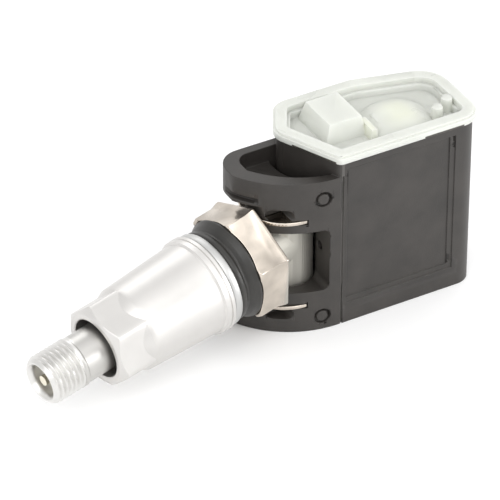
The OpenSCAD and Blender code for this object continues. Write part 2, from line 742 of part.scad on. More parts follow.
module sleeve_nut() {
    hex_rear = sleeve_front - sleeve_hex_len;
    corner_r = sleeve_af / sqrt(3);
    flat_r = sleeve_af / 2;
    skirt_end = sleeve_rear + flange_t;
    color([0.87, 0.88, 0.89]) along_valve() difference() {
        union() {
            intersection() {
                hexagon(sleeve_af, hex_rear - 1.5, sleeve_front, sleeve_turn);
                rotate_extrude() polygon([[0, hex_rear - 2], [corner_r + 0.64, hex_rear - 2],
                    [corner_r + 0.64, sleeve_front - 1.5], [flat_r - 1.63, sleeve_front + 1],
                    [0, sleeve_front + 1]]);
            }
            // Skirt, its groove and the flange, turned in one piece
            rotate_extrude() polygon([[0, sleeve_rear], [flange_r - 0.2, sleeve_rear],
                [flange_r, sleeve_rear + 0.2], [flange_r, sleeve_rear + 0.75],
                [flange_r - 0.15, sleeve_rear + 0.9], [flange_r, sleeve_rear + 1.05],
                [flange_r - 0.05, skirt_end - 0.25], [skirt_rear_r, skirt_end],
                [skirt_front_r, hex_rear - 1], [flat_r - 0.2, hex_rear + 0.9], [0, hex_rear + 0.9]]);
        }
        translate([0, 0, sleeve_rear - past])
            cylinder(r = nut_thread_r + nut_clear, h = past + sleeve_front - recess_len - sleeve_rear);
        translate([0, 0, sleeve_front - recess_len - past])
            cylinder(r = recess_r, h = recess_len + 2 * past);
    }
}

// Valve core

module core_body() {
    body_r = core_bore_r - core_clear;
    color([0.72, 0.55, 0.28]) along_valve() {
        difference() {
            union() {
                translate([0, 0, core_front - core_thread_len]) cylinder(r = body_r, h = core_thread_len);
                translate([0, 0, core_sleeve_end]) cylinder(r = core_sleeve_r, h = core_sleeve_len + past);
            }
            translate([0, 0, chamber_floor]) cylinder(r = chamber_r, h = core_thread_len);
            translate([0, 0, core_sleeve_end - past])
                cylinder(r = pin_r + 0.15, h = core_sleeve_len + 3 * past);
        }
        // Bridge that holds the pin in and takes the core key
        difference() {
            intersection() {
                translate([-body_r, -0.75, core_front - bridge_t]) cube([2 * body_r, 1.5, bridge_t]);
                translate([0, 0, core_front - 1]) cylinder(r = body_r, h = 2);
            }
            translate([0, 0, core_front - 2]) cylinder(r = pin_r + 0.15, h = 4);
        }
    }
}

module core_seal() {
    color([0.8, 0.2, 0.15]) along_valve() rotate_extrude() polygon([
        [core_sleeve_r, seat_at - seat_len + 0.5], [passage_r + 0.25, seat_at - seat_len + 0.5],
        [core_bore_r - 0.1, seat_at + 0.2], [core_bore_r - 0.1, seat_at + 1.4],
        [core_sleeve_r, seat_at + 1.4]]);
}

module core_pin() {
    color([0.93, 0.9, 0.82]) along_valve() {
        translate([0, 0, core_sleeve_end - 1.5]) cylinder(r = pin_r, h = pin_top - core_sleeve_end + 1);
        translate([0, 0, pin_top - pin_head_len]) cylinder(r = pin_head_r, h = pin_head_len);
        translate([0, 0, pin_collar - 0.4]) cylinder(r = 1.45, h = 0.4);
    }
}

module core_cup() {
    color([0.1, 0.1, 0.1]) along_valve()
        tube(core_sleeve_r + 0.05, pin_r, core_sleeve_end - 1.2, core_sleeve_end - 0.02);
}

// A round wire swept along a helix; each ring of points lies square to the axis
module core_spring() {
    steps = 14;
    sides = 6;
    rings = spring_turns * steps;
    low = chamber_floor + wire_r + 0.02;
    high = pin_collar - 0.4 - wire_r - 0.02;
    mean_r = (chamber_r + pin_r) / 2 + 0.05;
    function ring_pt(i, j) = let (a = 360 * i / steps, b = 360 * j / sides,
        r = mean_r + wire_r * cos(b))
        [r * cos(a), r * sin(a), low + (high - low) * i / rings + wire_r * sin(b)];
    pts = [for (i = [0 : rings]) for (j = [0 : sides - 1]) ring_pt(i, j)];
    faces = concat(
        [[for (j = [0 : sides - 1]) j]],
        [for (i = [0 : rings - 1]) for (j = [0 : sides - 1])
            [i * sides + j, (i + 1) * sides + j,
                (i + 1) * sides + (j + 1) % sides, i * sides + (j + 1) % sides]],
        [[for (j = [sides - 1 : -1 : 0]) rings * sides + j]]);
    color([0.75, 0.75, 0.77]) along_valve() polyhedron(pts, faces, convexity = 8);
}

housing();
lid();
port_membrane();
circuit_board();
coin_cell();
cell_tab_plus();
cell_tab_minus();
sensor_chip();
radio_chip();
crystal();
coil_core();
coil_winding();
capacitors();
antenna();
swivel_block();
valve_stem();
grommet();
washer();
sleeve_nut();
core_body();
core_seal();
core_pin();
core_cup();
core_spring();
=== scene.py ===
import math
import bpy
import bmesh
import numpy as np
from mathutils import Matrix, Vector


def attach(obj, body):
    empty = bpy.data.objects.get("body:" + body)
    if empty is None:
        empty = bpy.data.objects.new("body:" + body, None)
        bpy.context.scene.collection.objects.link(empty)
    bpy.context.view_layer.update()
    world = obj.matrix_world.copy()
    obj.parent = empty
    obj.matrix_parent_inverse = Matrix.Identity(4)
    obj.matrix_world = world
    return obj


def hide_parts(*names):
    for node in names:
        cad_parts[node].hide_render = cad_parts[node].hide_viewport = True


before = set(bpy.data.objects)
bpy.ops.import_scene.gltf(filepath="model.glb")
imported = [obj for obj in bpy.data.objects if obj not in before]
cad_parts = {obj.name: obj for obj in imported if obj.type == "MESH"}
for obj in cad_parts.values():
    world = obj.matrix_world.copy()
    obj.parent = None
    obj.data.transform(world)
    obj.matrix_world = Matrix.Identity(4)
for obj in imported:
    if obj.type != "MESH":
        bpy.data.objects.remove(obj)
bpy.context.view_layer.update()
# metres in a millimetre; lengths below are in mm unless a comment says metres
mm = 0.001
print("frame loaded,", len(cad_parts), "nodes")


class Wire:
    # one value in a node tree; arithmetic on it adds Math nodes
    def __init__(self, nodes, socket):
        self.nodes, self.socket = nodes, socket

    def maths(self, operation, *values):
        return self.nodes.add("ShaderNodeMath", {"operation": operation}, dict(enumerate(values)))

    def __add__(self, other):
        return self.maths("ADD", self, other)

    def __radd__(self, other):
        return self.maths("ADD", other, self)

    def __sub__(self, other):
        return self.maths("SUBTRACT", self, other)

    def __rsub__(self, other):
        return self.maths("SUBTRACT", other, self)

    def __mul__(self, other):
        return self.maths("MULTIPLY", self, other)

    def __rmul__(self, other):
        return self.maths("MULTIPLY", other, self)

    def __truediv__(self, other):
        return self.maths("DIVIDE", self, other)

    def __rtruediv__(self, other):
        return self.maths("DIVIDE", other, self)

    def fraction(self):
        return self.maths("FRACT", self)

    def above(self, other):
        return self.maths("GREATER_THAN", self, other)

    def atMost(self, other):
        return self.maths("MINIMUM", self, other)

    def atLeast(self, other):
        return self.maths("MAXIMUM", self, other)

    def beside(self, name):
        # another output of the node that this value comes from
        return Wire(self.nodes, self.socket.node.outputs[name])


class NodeTree:
    # a node tree under construction
    def __init__(self, tree):
        self.tree = tree

    def add(self, kind, settings=None, inputs=None, out=0):
        # a node with its settings, of which stops is a ramp's (level, colour) pairs, and its socket values
        made = self.tree.nodes.new(kind)
        for key, value in (settings or {}).items():
            if key == "stops":
                for element, (level, colour) in zip(made.color_ramp.elements, value):
                    element.position = level
                    element.color = (*colour, 1)
            else:
                setattr(made, key, value)
        for key, value in (inputs or {}).items():
            self.join(made.inputs[key], value)
        return Wire(self, made.outputs[out])

    def join(self, target, value):
        if isinstance(value, Wire):
            self.tree.links.new(value.socket, target)
        else:
            target.default_value = value

    def seen(self):
        # 1 for what the camera sees, straight or by a reflection or through glass, and 0 for plain light
        path = self.add("ShaderNodeLightPath")
        direct = path.beside("Is Camera Ray").atLeast(path.beside("Is Glossy Ray"))
        return direct.atLeast(path.beside("Is Transmission Ray"))


class Paint(NodeTree):
    # a Principled material under construction; the scale of a noise is per metre
    def __init__(self, name, **constants):
        self.material = bpy.data.materials.new(name)
        self.material.use_nodes = True
        super().__init__(self.material.node_tree)
        self.shader = self.tree.nodes["Principled BSDF"]
        self.here = self.add("ShaderNodeTexCoord").beside("Object")
        self.feed(**constants)

    def feed(self, **values):
        for key, value in values.items():
            self.join(self.shader.inputs[key.replace("_", " ")], value)
        return self.material

    def place(self, scale=(1, 1, 1), turn=(0, 0, 0), of=None):
        # the object coordinates, or another vector, scaled and then turned
        inputs = {"Vector": of or self.here, "Scale": scale, "Rotation": turn}
        return self.add("ShaderNodeMapping", {}, inputs)

    def axis(self, name):
        return self.add("ShaderNodeSeparateXYZ", {}, {"Vector": self.here}).beside(name)

    def noise(self, scale, detail, rough, where=None):
        inputs = {"Vector": where or self.here, "Scale": scale, "Detail": detail, "Roughness": rough}
        return self.add("ShaderNodeTexNoise", {}, inputs)

    def ramp(self, value, *stops):
        # from the colour of the first stop to that of the second
        return self.add("ShaderNodeValToRGB", {"stops": stops}, {"Fac": value})

    def mix(self, factor, a, b):
        # a Mix node's colours are its inputs 6 and 7 and its output 2
        a, b = [value if isinstance(value, Wire) else (*value, 1) for value in (a, b)]
        return self.add("ShaderNodeMix", {"data_type": "RGBA"}, {0: factor, 6: a, 7: b}, out=2)

    def bump(self, height, depth, strength):
        inputs = {"Height": height, "Distance": depth * mm, "Strength": strength}
        return self.add("ShaderNodeBump", {}, inputs)


def window(value, low, high, soft):
    # 1 from low to high, with a straight ramp from 0 over the first and the last soft mm
    rise = ((value - low * mm) / (soft * mm)).atLeast(0.0).atMost(1.0)
    fall = ((high * mm - value) / (soft * mm)).atLeast(0.0).atMost(1.0)
    return rise * fall


def shade(colour, factor):
    return tuple(c * factor for c in colour)


# the valve's own frame: its start, and the angles of its way out along the stem in degrees

valve = {"start": (0, 0, 13.4), "yaw": 11.25, "droop": 5.9}
yaw, droop = math.radians(valve["yaw"]), math.radians(valve["droop"])
valveOut = np.array([-math.cos(droop) * math.cos(yaw), -math.cos(droop) * math.sin(yaw), -math.sin(droop)])
valveDown = np.array([math.sin(droop) * math.cos(yaw), math.sin(droop) * math.sin(yaw), -math.cos(droop)])
valveNear = np.array([math.sin(yaw), -math.cos(yaw), 0.0])
# turns a point's x, y and z into its parts along down, near and out, for patterns along the valve
valveTurn = tuple(Matrix([valveDown, valveNear, valveOut]).to_euler("XYZ"))


# colours and roughness of the main finishes

finish = {
    # the plastic's last colour is a painted highlight for the light line along the seam
    "plastic": {"colour": (0.0295, 0.0262, 0.0234), "rough": 0.46, "seamHighlight": (0.085, 0.080, 0.074)},
    "sleeve": {"colour": (0.70, 0.685, 0.665), "rough": 0.38},
    "stem": {"colour": (0.74, 0.73, 0.71), "rough": 0.33, "neck": (0.55, 0.54, 0.52)},
    "washer": {"colour": (0.58, 0.58, 0.57), "rough": 0.4},
    "nickel": {"colour": (0.74, 0.665, 0.58), "rough": 0.17},
    "barrel": {"colour": (0.52, 0.505, 0.46), "rough": 0.6},
    "lid": {"colour": (0.625, 0.638, 0.592), "rough": 0.3, "dome": (0.74, 0.76, 0.58),
            "strip": (0.78, 0.80, 0.62)},
    "rubber": {"colour": (0.022, 0.021, 0.019), "rough": 0.36},
}


def plasticMaterial(colour, rough, seamHighlight):
    paint = Paint("moulded black plastic")
    cloudy = paint.noise(180, 4, 0.6)
    fine = paint.noise(5200, 2, 0.5)
    grain = paint.add("ShaderNodeTexVoronoi", {"feature": "F1"}, {"Vector": paint.here, "Scale": 4200.0})
    tint = paint.ramp(cloudy, (0.3, shade(colour, 0.8)), (0.75, shade(colour, 1.45)))
    # painted highlight: the seam between box and cradle is painted lighter on the near side, as a light edge
    # line
    seam = window(paint.axis("X"), 6.55, 7.05, 0.08) * window(paint.axis("Y"), -20, -7.2, 0.1)
    return paint.feed(Base_Color=paint.mix(seam, tint, seamHighlight), Roughness=rough - 0.08 + cloudy * 0.16,
                      Normal=paint.bump(grain * 0.5 + fine * 0.5, 0.04, 0.35))


def aluminiumMaterial(name, colour, rough, neck=None):
    paint = Paint(name, Metallic=1.0)
    # marks of the turning run round the valve: fine along it and long across it
    rings = paint.place(scale=(90, 90, 5200), of=paint.place(turn=valveTurn))
    turned = paint.noise(1.0, 2, 0.6, where=rings)
    blast = paint.noise(9000, 2, 0.5)
    cloud = paint.noise(120, 3, 0.5)
    tint = paint.ramp(cloud, (0.3, shade(colour, 0.9)), (0.7, colour))
    if neck:
        # the plain neck behind the cap thread is darker
        tint = paint.mix(window(paint.axis("X"), -38.1, 20, 0.2), tint, neck)
    return paint.feed(Base_Color=tint, Roughness=rough - 0.05 + cloud * 0.1 + turned * 0.05,
                      Normal=paint.bump(turned * 0.6 + blast * 0.4, 0.01, 0.6))


def nickelMaterial(bright, satin):
    paint = Paint("bright nickel", Metallic=1.0)
    ripple = paint.noise(420, 3, 0.55)
    scratch = paint.noise(1.0, 2, 0.5, where=paint.place(scale=(9000, 9000, 700), turn=(0.3, 0.4, 0.2)))
    cloud = paint.noise(150, 3, 0.5)
    tint = paint.ramp(cloud, (0.35, shade(bright["colour"], 0.62)), (0.65, bright["colour"]))
    # the barrel between the two discs is left satin
    barrel = window(paint.axis("X"), -3.5, 6.5, 0.6) * window(paint.axis("Z"), 5.3, 19.2, 0.3)
    roughness = bright["rough"] - 0.04 + cloud * 0.08 + scratch * 0.03
    return paint.feed(Base_Color=paint.mix(barrel, tint, satin["colour"]),
                      Roughness=roughness + barrel * (satin["rough"] - bright["rough"]),
                      Normal=paint.bump(ripple * 0.8 + scratch * 0.2, 0.02, 0.5))


def lidMaterial(colour, rough, dome, strip):
    paint = Paint("milky lid", IOR=1.5, Specular_IOR_Level=0.5, Subsurface_Weight=0.6,
                  Subsurface_Radius=(1.0, 1.0, 0.95), Subsurface_Scale=2.6 * mm)
    x, y, z = [paint.axis(name) for name in "XYZ"]
    patch = paint.noise(170, 3, 0.5)
    tint = paint.ramp(patch, (0.3, shade(colour, 0.96)), (0.7, shade(colour, 1.05)))
    # yellow-green where the plastic is thick: the dome, and the low bar beside the chamber
    onDome = window(x, 16.5, 23.5, 2.5) * window(y, -5, 3, 2.5)
    onBar = window(x, 13.5, 15.2, 0.7) * window(y, -4.5, 1, 1.5)
    tint = paint.mix(onDome * 0.4, tint, dome)
    tint = paint.mix(onBar * 0.5, tint, strip)
    # painted shadow: the shadow gap under the rim is painted in the housing's black plastic colour in two
    # low stretches
    slanted = window(y, -7.55, -0.3, 0.05) * window(x, -10, 7.1, 0.05)
    broad = window(x, 20.4, 27.2, 0.05) * window(y, -20, -7.8, 0.05)
    gapShadow = (slanted + broad) * window(z, 29, 29.75, 0.08)
    return paint.feed(Base_Color=paint.mix(gapShadow, tint, finish["plastic"]["colour"]),
                      Roughness=rough - 0.1 + patch * 0.2,
                      Normal=paint.bump(paint.noise(700, 2, 0.5), 0.02, 0.25))


def rubberMaterial(colour, rough):
    paint = Paint("black rubber", Specular_IOR_Level=0.45)
    cloud = paint.noise(260, 4, 0.6)
    return paint.feed(Base_Color=paint.ramp(cloud, (0.3, colour), (0.75, shade(colour, 1.8))),
                      Roughness=rough - 0.06 + cloud * 0.14,
                      Normal=paint.bump(paint.noise(3600, 3, 0.6), 0.03, 0.4))


def metalMaterial(name, colour, rough):
    paint = Paint(name, Metallic=1.0)
    cloud = paint.noise(320, 3, 0.55)
    return paint.feed(Base_Color=paint.ramp(cloud, (0.3, shade(colour, 0.86)), (0.7, colour)),
                      Roughness=rough - 0.05 + cloud * 0.12,
                      Normal=paint.bump(paint.noise(3000, 2, 0.5), 0.01, 0.4))


def dullMaterial(name, colour, rough=0.55, metal=0.0):
    paint = Paint(name, Metallic=metal)
    cloud = paint.noise(1500, 3, 0.6)
    return paint.feed(Base_Color=paint.ramp(cloud, (0.3, shade(colour, 0.8)), (0.7, shade(colour, 1.15))),
                      Roughness=rough - 0.06 + cloud * 0.12, Normal=paint.bump(cloud, 0.03, 0.4))


def boardMaterial(mask, track):
    paint = Paint("green board")
    # copper tracks under the mask: level lines on a 1.3 mm pitch, broken up by noise
    lines = (paint.axis("Z") / (1.3 * mm)).fraction().above(0.82)
    broken = paint.noise(300, 1, 0.4).above(0.5)
    return paint.feed(Base_Color=paint.mix(lines * broken, mask, track), Roughness=0.3 + lines * 0.1,
                      Normal=paint.bump(lines, 0.02, 0.4))


plastic = plasticMaterial(**finish["plastic"])
nickel = nickelMaterial(finish["nickel"], finish["barrel"])
lidMilk = lidMaterial(**finish["lid"])
rubber = rubberMaterial(**finish["rubber"])
sleeveSatin = aluminiumMaterial("satin aluminium", **finish["sleeve"])
stemSatin = aluminiumMaterial("turned aluminium", **finish["stem"])
washerGrey = aluminiumMaterial("washer grey", **finish["washer"])
steel = metalMaterial("cell steel", (0.62, 0.62, 0.61), 0.28)
nickelStrip = metalMaterial("nickel strip", (0.70, 0.68, 0.62), 0.25)
nodeFinish = {
    "circuit_board": boardMaterial((0.02, 0.12, 0.05), (0.10, 0.28, 0.12)),
    "coin_cell": steel,
    "cell_tab_plus": nickelStrip,
    "cell_tab_minus": nickelStrip,
    "sensor_chip": dullMaterial("sensor black", (0.02, 0.02, 0.022)),
    "radio_chip": dullMaterial("chip black", (0.018, 0.018, 0.02)),
    "crystal": steel,
    "coil_core": dullMaterial("ferrite", (0.05, 0.047, 0.045)),
    "coil_winding": metalMaterial("enamelled copper", (0.66, 0.30, 0.14), 0.35),
    "capacitors": dullMaterial("capacitor tan", (0.38, 0.28, 0.17)),
    "antenna": nickelStrip,
    "port_membrane": dullMaterial("membrane white", (0.75, 0.75, 0.72), 0.8),
    "core_body": dullMaterial("core brass", (0.80, 0.78, 0.71), 0.45, metal=0.3),
    "core_seal": dullMaterial("seal red", (0.42, 0.05, 0.03), 0.5),
    "core_pin": metalMaterial("pin brass", (0.85, 0.80, 0.66), 0.25),
    "core_cup": rubber,
    "core_spring": metalMaterial("spring steel", (0.5, 0.5, 0.52), 0.3),
}
for nodeName, material in nodeFinish.items():
    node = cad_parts[nodeName]
    node.data.materials.clear()
    node.data.materials.append(material)
print("materials made")


def addPiece(name, mesh, material, sharpAngle, node, body):
    # an object of the mesh, smooth but for edges over sharpAngle, that stands for a node of the frame
    mesh.materials.clear()
    mesh.materials.append(material)
    mesh.shade_smooth()
    mesh.set_sharp_from_angle(angle=math.radians(sharpAngle))
    piece = bpy.data.objects.new(name, mesh)
    bpy.context.scene.collection.objects.link(piece)
    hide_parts(node)
    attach(piece, body)
    return piece


# box, lid and block: the frame's own meshes with rounded edges

# an edge is rounded where its two faces turn by more than angle degrees; left out are such edges that
# leave a corner with a cosine over crowd between them, and edges shorter than short next to those
rounding = {"merge": 0.015, "angle": 40, "crowd": 0.5, "short": 0.6, "segments": 2, "sharpAngle": 28}
# a level that holds more than this many of the mesh's corners is kept clear of cuts by gap
levelGuard = {"corners": 27, "gap": 0.17, "weld": 0.004}
mouldings = {
    "BoxMoulding": {"material": plastic, "edge": 0.085, "layer": 0.45, "node": "housing", "body": "box",
                    "slot": "black_plastic"},
    "LidMoulding": {"material": lidMilk, "edge": 0.06, "node": "lid", "body": "box",
                    "slot": "milky_plastic"},
    "SwivelBlock": {"material": nickel, "edge": 0.14, "node": "swivel_block", "body": "valve",
                    "slot": "nickel"},
}


def read(items, key, kind, width=1):
    # one property of every vertex, edge, loop or face as an array
    values = np.empty(len(items) * width, kind)
    items.foreach_get(key, values)
    return values.reshape(-1, width) if width > 1 else values


def edgeWeights(mesh):
    # bevel weight 1 on every edge to round, 0 on the others
    ends, places = read(mesh.edges, "vertices", int, 2), read(mesh.vertices, "co", float, 3)
    normals, edgeOfLoop = read(mesh.polygons, "normal", float, 3), read(mesh.loops, "edge_index", int)
    faceOfLoop = np.repeat(np.arange(len(mesh.polygons)), read(mesh.polygons, "loop_total", int))
    uses = np.bincount(edgeOfLoop, minlength=len(ends))
    order = faceOfLoop[np.argsort(edgeOfLoop, kind="stable")]
    first = np.minimum(np.cumsum(uses) - uses, len(order) - 2)
    cosine = np.sum(normals[order[first]] * normals[order[first + 1]], 1)
    sharp = (uses == 2) & (cosine < math.cos(math.radians(rounding["angle"])))
    # both directions of each sharp edge, sorted by the corner that they leave
    which = np.tile(np.flatnonzero(sharp), 2)
    corner = np.concatenate([ends[sharp, 0], ends[sharp, 1]])
    way = places[np.concatenate([ends[sharp, 1], ends[sharp, 0]])] - places[corner]
    way /= np.linalg.norm(way, axis=1)[:, None]
    rank = np.argsort(corner, kind="stable")
    which, corner, way = which[rank], corner[rank], way[rank]
    # each direction is held against the next four in the list
    crowded = np.zeros(len(mesh.vertices), bool)
    for step in (1, 2, 3, 4):
        close = np.sum(way[step:] * way[:-step], 1) > rounding["crowd"]
        tight = (corner[step:] == corner[:-step]) & close
        for edges in (which[step:][tight], which[:-step][tight]):
            crowded[ends[edges].ravel()] = True
    short = np.linalg.norm(places[ends[:, 1]] - places[ends[:, 0]], axis=1) < rounding["short"] * mm
    tightEdge = crowded[ends].all(1) | (crowded[ends].any(1) & short)
    weights = mesh.attributes.new("bevel_weight_edge", "FLOAT", "EDGE")
    weights.data.foreach_set("value", (sharp & ~tightEdge).astype(np.float32))


def cutLayers(work, heights, layer):
    # cuts the mesh across every layer mm of height, away from its level edges
    levels, corners = np.unique(np.round(heights, 1), return_counts=True)
    cuts = np.arange(levels[0] + 0.5 * layer, levels[-1], layer)
    gap = np.abs(cuts[:, None] - levels[corners > levelGuard["corners"]][None]).min(1)
    for height in cuts[gap > levelGuard["gap"]]:
        whole = work.verts[:] + work.edges[:] + work.faces[:]
        bmesh.ops.bisect_plane(work, geom=whole, dist=levelGuard["weld"] * mm,
                               plane_co=(0, 0, height * mm), plane_no=(0, 0, 1))


def roundedCopy(name, material, edge, node, body, slot, layer=None):
    # the node's mesh merged, and cut in layers if its shading needs it, with a Bevel on its sharp edges
    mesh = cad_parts[node].data.copy()
    mesh.name = name
    work = bmesh.new()
    work.from_mesh(mesh)
    bmesh.ops.remove_doubles(work, verts=work.verts, dist=rounding["merge"] * mm)
    if layer:
        cutLayers(work, read(mesh.vertices, "co", float, 3)[:, 2] / mm, layer)
    work.to_mesh(mesh)
    work.free()
    edgeWeights(mesh)
    piece = addPiece(name, mesh, material, rounding["sharpAngle"], node, body)
    bevel = piece.modifiers.new("rounded edges", "BEVEL")
    bevel.width = edge * mm
    bevel.segments = rounding["segments"]
    bevel.limit_method = "WEIGHT"
    bevel.use_clamp_overlap = False
    bevel.harden_normals = True


for pieceName, settings in mouldings.items():
    roundedCopy(pieceName, **settings)
print("box, lid and block made")


# pieces turned round the valve's axis, from closed profiles of (station along the valve, radius)


def sides(corners):
    # the two ends and the length of each side of a closed profile
    for p, q in zip(corners, corners[1:] + corners[:1]):
        p, q = np.array(p, float), np.array(q, float)
        yield p, q, np.linalg.norm(q - p)


def profile(corners, countOf):
    # each side cut into countOf(its ends, its length) even steps
    rows = [p + np.linspace(0, 1, countOf(p, q, length), endpoint=False)[:, None] * (q - p)
            for p, q, length in sides(corners)]
    return np.concatenate(rows).T


# a soft corner takes at most this share of a side; its last point on each side lies at near of the soft
# length from the corner, and is pulled by pull of it towards the other side
softCorner = {"most": 0.4, "near": 0.35, "pull": 0.12}


def softProfile(corners, step, soft):
    # each side cut about every step mm between its corners, which are rounded over soft mm
    rows = []
    for k, (p, q, length) in enumerate(sides(corners)):
        cut = min(soft, length * softCorner["most"])
        near, pull = cut * softCorner["near"], cut * softCorner["pull"]
        inner = np.linspace(cut, length - cut, max(2, int(length / step) + 1))
        share = np.concatenate([[near], inner, [length - near]]) / length
        line = p + share[:, None] * (q - p)
        before, after = corners[k - 1] - p, corners[(k + 2) % len(corners)] - q
        line[0] += before / np.linalg.norm(before) * pull
        line[-1] += after / np.linalg.norm(after) * pull
        rows.append(line)
    return np.concatenate(rows).T


def turnedPiece(name, profileRows, around, material, node, body, shape=None, phase=0.0):
    # the profile carried round the valve's axis: each point is the start plus its station along out, plus
    # its radius times cosine along down and sine along near; shape(station, angle, radius) may alter the
    # radius; neighbours are joined by quads, which wrap round both ways
    angles = phase + np.linspace(0, 2 * math.pi, around, endpoint=False)
    station, angle = np.meshgrid(profileRows[0], angles, indexing="ij")
    radius = np.repeat(profileRows[1][:, None], around, 1)
    if shape:
        radius = shape(station, angle, radius)
    points = (np.array(valve["start"]) + station[..., None] * valveOut
              + (radius * np.cos(angle))[..., None] * valveDown
              + (radius * np.sin(angle))[..., None] * valveNear)
    a = np.arange(station.size).reshape(station.shape)
    b = np.roll(a, -1, 0)
    quads = np.stack([a, b, np.roll(b, -1, 1), np.roll(a, -1, 1)], -1).reshape(-1, 4)
    mesh = bpy.data.meshes.new(name)
    mesh.vertices.add(station.size)
    mesh.vertices.foreach_set("co", (points * mm).ravel())
    mesh.loops.add(quads.size)
    mesh.loops.foreach_set("vertex_index", quads.ravel())
    mesh.polygons.add(len(quads))
    mesh.polygons.foreach_set("loop_start", np.arange(len(quads)) * 4)
    mesh.polygons.foreach_set("loop_total", np.full(len(quads), 4))
    mesh.update(calc_edges=True)
    mesh.validate()
    addPiece(name, mesh, material, 38, node, body)


# stations and radii of the stem; chamfers, depths and ramps in mm
stem = {"back": -1.0, "seat": 5.6, "tip": 45.1, "passage": 1.6, "spigot": 3.2, "neck": 3.7, "skin": 3.3,
        "threadLength": 6.1, "threadRadius": 3.87, "pitch": 0.8, "depth": 0.42, "threadGap": 0.25,
        "threadRamp": 0.5, "nutThread": 5.0, "nutStart": 8.0, "nutEnd": 26.6, "nutPitch": 1.0,
        "nutDepth": 0.5, "nutRamp": 0.6, "nutChamfer": 0.5, "shoulder": 0.2, "crown": 0.85,
        "crownEnd": 0.35, "crownDrop": 0.3, "mouth": 2.95, "lip": 0.28, "dish": 0.03, "mouthDepth": 0.5,
        "coreBore": 2.6, "coreSeat": 34.6, "seatLength": 1.6}
threadStart = stem["tip"] - stem["threadLength"]


def saw(turns):
    # thread section: the distance from the middle of a turn, stretched so that the straight flanks end in
    # small flats, from 0 at the crest to 1 at the root
    return np.clip(np.abs((turns % 1.0) * 2 - 1) * 1.35 - 0.17, 0, 1)


def stemShape(t, angle, r):
    # on the outer skin each thread is its crest radius less its depth times saw(t / pitch - turns)
    turns = angle / (2 * math.pi)
    outer = r > stem["skin"]
    ramp = np.clip((t - threadStart - stem["threadGap"]) / stem["threadRamp"], 0, 1)
    cut = stem["depth"] * saw(t / stem["pitch"] - turns) * ramp
    r = np.where(outer & (t > threadStart), np.minimum(r, stem["threadRadius"] - cut), r)
    nutRamp = np.clip((t - stem["nutStart"]) / stem["nutRamp"], 0, 1)
    nutCut = stem["nutDepth"] * saw(t / stem["nutPitch"] - turns) * nutRamp
    onNut = outer & (t > stem["nutStart"]) & (t <= stem["nutEnd"])
    return np.where(onNut, np.minimum(r, stem["nutThread"] - nutCut), r)


def stemSteps(p, q, length):
    # 0.075 mm steps on the cap thread, 0.14 mm on the nut thread and 0.6 mm elsewhere
    inner = min(p[1], q[1])
    if inner >= stem["nutThread"]:
        return int(length / 0.14)
    threaded = inner > stem["skin"] and min(p[0], q[0]) >= threadStart - stem["shoulder"]
    return max(2, int(length / (0.075 if threaded else 0.6)))


def stemPiece():
    # from the back round the outside to the tip, and back through the core's seat
    s = stem
    corners = [(s["back"], s["passage"]), (s["back"], s["spigot"]), (s["seat"], s["spigot"]),
               (s["seat"], s["nutThread"]), (s["nutEnd"] - s["nutChamfer"], s["nutThread"]),
               (s["nutEnd"], s["nutThread"] - s["nutChamfer"]), (s["nutEnd"], s["neck"]),
               (threadStart - s["shoulder"], s["neck"]), (threadStart, s["threadRadius"]),
               (s["tip"] - s["crown"], s["threadRadius"]),
               (s["tip"] - s["crownEnd"], s["threadRadius"] - s["crownDrop"]),
               (s["tip"], s["mouth"] + s["lip"]), (s["tip"] - s["dish"], s["mouth"]),
               (s["tip"] - s["mouthDepth"], s["coreBore"]), (s["coreSeat"], s["coreBore"]),
               (s["coreSeat"] - s["seatLength"], s["passage"])]
    turnedPiece("ThreadedStem", profile(corners, stemSteps), 144, stemSatin, node="valve_stem", body="valve",
                shape=stemShape)


# stations, radii and the hexagon's size across its flats; turn in degrees; cone is the rise of the front
# chamfer in mm of radius per mm, and blend the rounding between hexagon and corner radius
sleeve = {"front": 34.9, "rear": 14.4, "af": 12.0, "hexLength": 5.0, "turn": 12.0, "cornerCut": 0.1,
          "blend": 0.12, "coneDrop": 0.35, "cone": 1.28, "skin": 5.4, "skirtFront": 6.7, "skirtRear": 7.36,
          "skirtRun": 1.0, "skirtOn": 0.9, "skirtSink": 0.2, "flange": 7.78, "flangeLength": 2.0,
          "flangeEdge": 0.2, "flangeFall": 0.25, "flangeDrop": 0.05, "groove": 0.16, "grooveFrom": 0.72,
          "grooveTo": 1.06, "grooveSlope": 0.08, "fillet": 0.1, "face": 6.5, "faceStep": 0.001,
          "recess": 4.75, "recessLength": 7.6, "recessEdge": 0.15, "bore": 5.05}
hexRear = sleeve["front"] - sleeve["hexLength"]
hexFrom = hexRear - sleeve["skirtRun"]


def sleeveShape(t, angle, r):
    # round the hexagon: the larger of the skirt's cone, which sinks into the flats and ends there, and
    # of the smaller of hexagon and front chamfer; hexagon and corner radius meet in a soft minimum,
    # -blend times log(exp(-a / blend) + exp(-b / blend))
    s = sleeve
    offFlat = (np.degrees(angle) - s["turn"]) % 60 - 30
    hexagon = s["af"] / 2 / np.cos(np.radians(offFlat))
    corner = s["af"] / 2 / math.cos(math.pi / 6) - s["cornerCut"]
    hexagon = -s["blend"] * np.log(np.exp(-hexagon / s["blend"]) + math.exp(-corner / s["blend"]))
    chamfer = s["af"] / 2 - s["coneDrop"] + (s["front"] - t) * s["cone"]
    skirt = np.interp(t, [hexFrom, hexRear + s["skirtOn"], hexRear + s["skirtRun"]],
                      [s["skirtFront"], s["af"] / 2 - s["skirtSink"], 0.0])
    body = np.maximum(skirt, np.minimum(hexagon, chamfer))
    return np.where((t > hexFrom) & (r > s["skin"]), body, r)


def sleeveSteps(p, q, length):
    # 0.07 mm steps along the hexagon and 0.8 mm elsewhere
    onHexagon = p[0] >= hexFrom and q[1] >= sleeve["face"]
    return int(length / 0.07) if onHexagon else max(1, int(length / 0.8))


